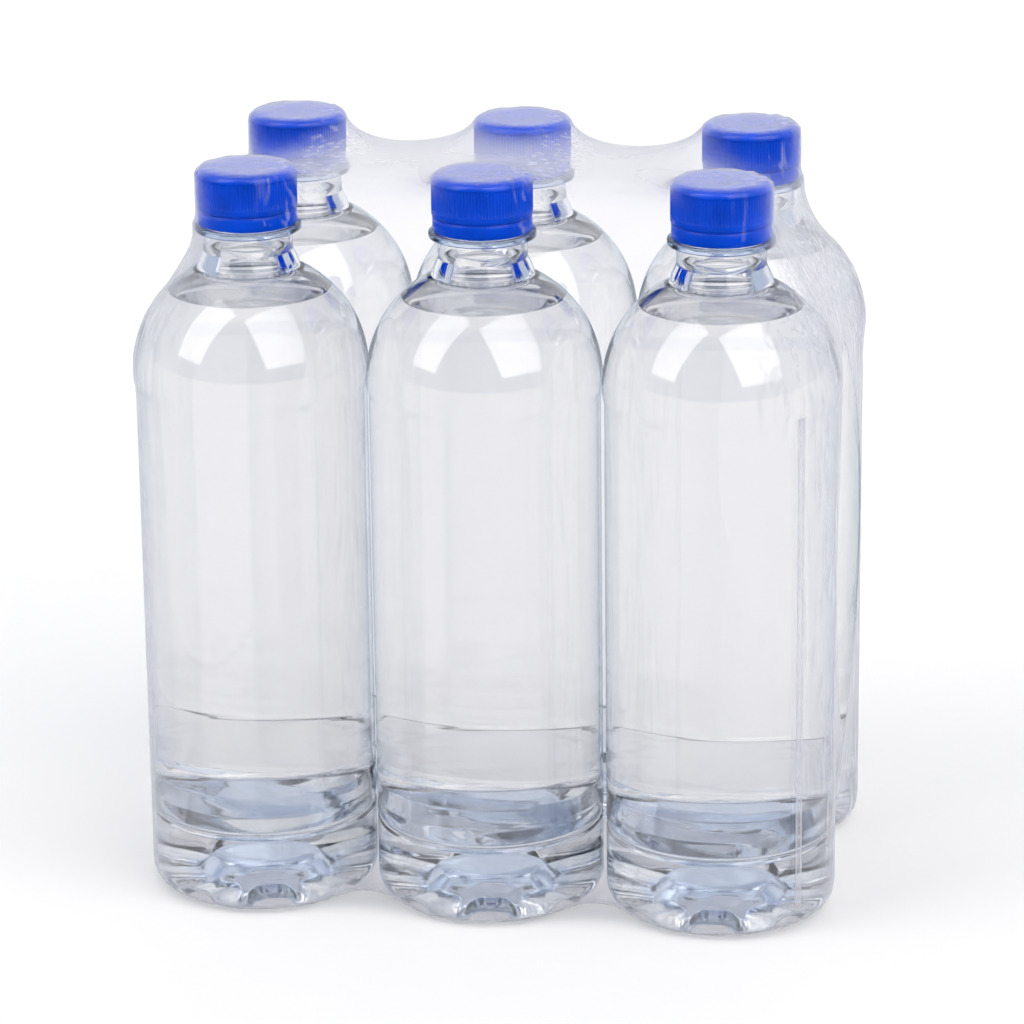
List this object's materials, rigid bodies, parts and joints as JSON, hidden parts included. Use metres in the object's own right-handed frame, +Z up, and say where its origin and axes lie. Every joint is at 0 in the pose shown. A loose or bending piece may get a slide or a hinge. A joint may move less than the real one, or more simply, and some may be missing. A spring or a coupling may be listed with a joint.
{
  "type": "pack of water bottles",
  "caption": "Clear plastic bottles of still water with blue screw caps, in two rows, held together by a shrunk clear film sleeve with an opening at each end.",
  "frame": {"origin": "centre of the film's flat underside, where the pack stands", "axes": "+Z up along the bottles, +X along a row, +Y from the front row to the back row"},
  "size_m": [0.1978, 0.133, 0.2096],
  "materials": {
    "bottle_pet": "clear blow-moulded PET",
    "water": "still drinking water",
    "cap_blue": "injection-moulded polyethylene, saturated blue, satin gloss",
    "film": "shrunk clear polyethylene film"
  },
  "bodies": {
    "root": {"bottle_front_left": "bottle_pet", "water_front_left": "water", "cap_front_left": "cap_blue", "bottle_front_middle": "bottle_pet", "water_front_middle": "water", "cap_front_middle": "cap_blue", "bottle_front_right": "bottle_pet", "water_front_right": "water", "cap_front_right": "cap_blue", "bottle_back_left": "bottle_pet", "water_back_left": "water", "cap_back_left": "cap_blue", "bottle_back_middle": "bottle_pet", "water_back_middle": "water", "cap_back_middle": "cap_blue", "bottle_back_right": "bottle_pet", "water_back_right": "water", "cap_back_right": "cap_blue", "shrink_film": "film"}
  },
  "joints": []
}
